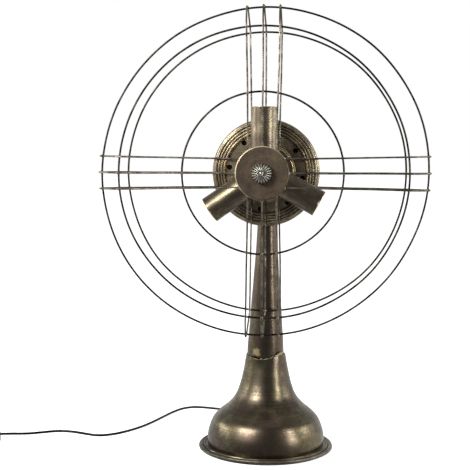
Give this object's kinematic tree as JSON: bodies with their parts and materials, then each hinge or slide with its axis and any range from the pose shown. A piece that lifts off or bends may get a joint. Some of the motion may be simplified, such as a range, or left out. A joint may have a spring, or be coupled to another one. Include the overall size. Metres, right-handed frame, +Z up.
{
  "type": "fan-shaped table lamp",
  "caption": "Aged-brass table lamp in the shape of a desk fan: bell base, tapered stem, tilting wire cage and radial lamp sleeves round a hub in place of blades, with a black mains cord.",
  "frame": {"origin": "middle of the base's felt face, on the table", "axes": "+Z up along the stem, the cage faces -Y, +X to the right of the face"},
  "size_m": [0.7618, 0.3929, 0.6913],
  "materials": {
    "aged_brass": "antique bronze patina over brass sheet, rubbed brighter on edges",
    "aged_cast": "casting with an antique bronze finish",
    "hub_patina": "brown satin patina",
    "knob_metal": "worn grey plating, bright on the flutes",
    "bright_brass": "polished brass, slightly tarnished",
    "shell_metal": "bright sheet",
    "cage_wire": "bronzed wire with lighter brazed joints",
    "steel": "zinc plated",
    "iron": "raw casting",
    "felt": "black felt",
    "insulator": "moulded insulator",
    "terminal": "moulded",
    "lead_pvc": "brown insulation",
    "cord_pvc": "glossy black",
    "black_plastic": "black, slightly textured"
  },
  "bodies": {
    "stand": {"foot_ring": "aged_brass", "base_bell": "aged_brass", "stem_tube": "aged_brass", "stem_cap": "aged_brass", "tilt_fork": "aged_brass", "tilt_bolt": "bright_brass", "plug_pins": "bright_brass", "bottom_plate": "steel", "plate_screws": "steel", "neck_disc": "steel", "stem_rod": "steel", "rod_nuts": "steel", "ballast_weight": "iron", "base_felt": "felt", "base_terminal": "terminal", "stem_lead": "lead_pvc", "base_cord_tail": "cord_pvc", "cord_lead": "cord_pvc", "cord_link": "cord_pvc", "cord_coil": "cord_pvc", "cord_grommet": "black_plastic", "switch_base": "black_plastic", "switch_cover": "black_plastic", "plug_body": "black_plastic"},
    "head": {"tilt_tongue": "steel", "tongue_screws": "steel", "mounting_plate": "steel", "rear_housing": "aged_brass", "rear_pan": "aged_brass", "rear_boss": "aged_cast", "boss_screws": "steel", "hub_drum": "aged_brass", "hub_disc": "hub_patina", "tie_rod": "steel", "rear_cap_nut": "bright_brass", "head_terminal": "terminal", "holder_leads": "lead_pvc", "outer_ring": "cage_wire", "front_ring": "cage_wire", "rear_ring": "cage_wire", "inner_ring": "cage_wire", "guard_wires_right": "cage_wire", "guard_wires_top": "cage_wire", "guard_wires_left": "cage_wire", "guard_wires_bottom": "cage_wire", "socket_sleeve_top": "aged_brass", "holder_body_top": "insulator", "holder_shell_top": "shell_metal", "holder_contact_top": "bright_brass", "socket_sleeve_left": "aged_brass", "holder_body_left": "insulator", "holder_shell_left": "shell_metal", "holder_contact_left": "bright_brass", "socket_sleeve_right": "aged_brass", "holder_body_right": "insulator", "holder_shell_right": "shell_metal", "holder_contact_right": "bright_brass"},
    "finial": {"finial_knob": "knob_metal"},
    "hand_nut": {"tilt_hand_nut": "bright_brass"},
    "rocker": {"switch_rocker": "black_plastic"}
  },
  "joints": [
    {"name": "head_tilt", "type": "hinge", "parent": "stand", "child": "head", "pos_m": [0, 0, 0.3715], "axis": [-1, 0, 0], "range_deg": [0, 25]},
    {"name": "finial_turn", "type": "hinge", "parent": "head", "child": "finial", "pos_m": [0, -0.13, 0.4405], "axis": [0, -1, 0], "continuous": true},
    {"name": "hand_nut_turn", "type": "hinge", "parent": "stand", "child": "hand_nut", "pos_m": [0.013, 0, 0.3715], "axis": [1, 0, 0], "continuous": true},
    {"name": "switch_rock", "type": "hinge", "parent": "stand", "child": "rocker", "pos_m": [-0.446, -0.03, 0.012], "axis": [-1, 0, 0], "range_deg": [0, 14]}
  ]
}
